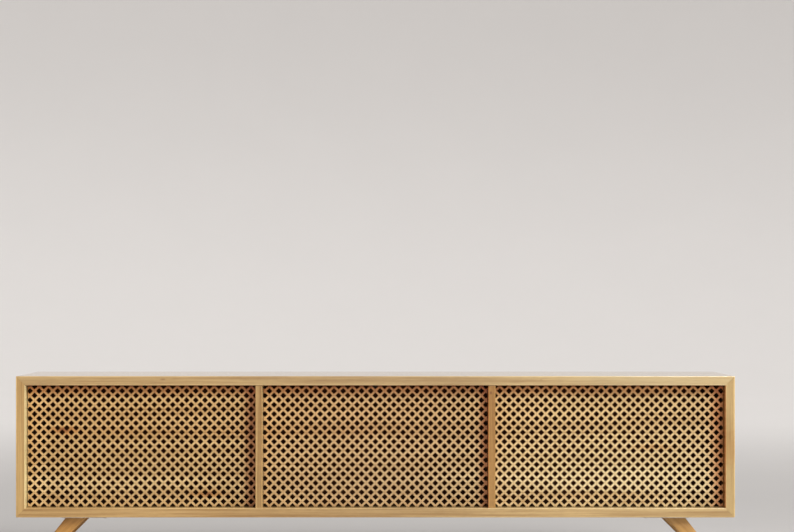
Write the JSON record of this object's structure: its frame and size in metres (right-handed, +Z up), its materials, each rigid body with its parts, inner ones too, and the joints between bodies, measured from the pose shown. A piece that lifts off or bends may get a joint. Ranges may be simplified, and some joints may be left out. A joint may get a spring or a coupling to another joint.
{
  "type": "lattice-front sideboard",
  "caption": "Low light-oak sideboard on splayed tapered legs, its open bays closed by drop-down flaps of fine diagonal lattice.",
  "frame": {"origin": "on the floor, under the middle of the case", "axes": "+X along the length to the viewer's right, -Y the lattice front, +Z up"},
  "size_m": [2, 0.4, 0.543],
  "materials": {
    "oak_case": "satin lacquered light oak",
    "oak_lattice": "satin lacquered light oak",
    "oak_leg": "satin oiled oak",
    "dark_back": "dark brown stained board",
    "steel": "brushed",
    "black_plastic": "matte black"
  },
  "bodies": {
    "case": {"top_board": "oak_case", "bottom_board": "oak_case", "left_side": "oak_case", "right_side": "oak_case", "left_divider": "oak_case", "right_divider": "oak_case", "back_panel": "dark_back", "front_left_leg": "oak_leg", "front_right_leg": "oak_leg", "rear_left_leg": "oak_leg", "rear_right_leg": "oak_leg", "front_left_leg_plate": "steel", "front_right_leg_plate": "steel", "rear_left_leg_plate": "steel", "rear_right_leg_plate": "steel", "front_left_leg_glide": "black_plastic", "front_right_leg_glide": "black_plastic", "rear_left_leg_glide": "black_plastic", "rear_right_leg_glide": "black_plastic", "left_latch": "black_plastic", "middle_latch": "black_plastic", "right_latch": "black_plastic"},
    "left_flap": {"left_flap_front_slats": "oak_lattice", "left_flap_back_slats": "oak_lattice", "left_flap_left_pivot": "steel", "left_flap_right_pivot": "steel", "left_flap_striker": "steel"},
    "middle_flap": {"middle_flap_front_slats": "oak_lattice", "middle_flap_back_slats": "oak_lattice", "middle_flap_left_pivot": "steel", "middle_flap_right_pivot": "steel", "middle_flap_striker": "steel"},
    "right_flap": {"right_flap_front_slats": "oak_lattice", "right_flap_back_slats": "oak_lattice", "right_flap_left_pivot": "steel", "right_flap_right_pivot": "steel", "right_flap_striker": "steel"}
  },
  "joints": [
    {"name": "left_flap_hinge", "type": "hinge", "parent": "case", "child": "left_flap", "pos_m": [-0.6539, -0.161, 0.1813], "axis": [1, 0, 0], "range_deg": [0, 90]},
    {"name": "middle_flap_hinge", "type": "hinge", "parent": "case", "child": "middle_flap", "pos_m": [0, -0.161, 0.1813], "axis": [1, 0, 0], "range_deg": [0, 90]},
    {"name": "right_flap_hinge", "type": "hinge", "parent": "case", "child": "right_flap", "pos_m": [0.6539, -0.161, 0.1813], "axis": [1, 0, 0], "range_deg": [0, 90]}
  ]
}
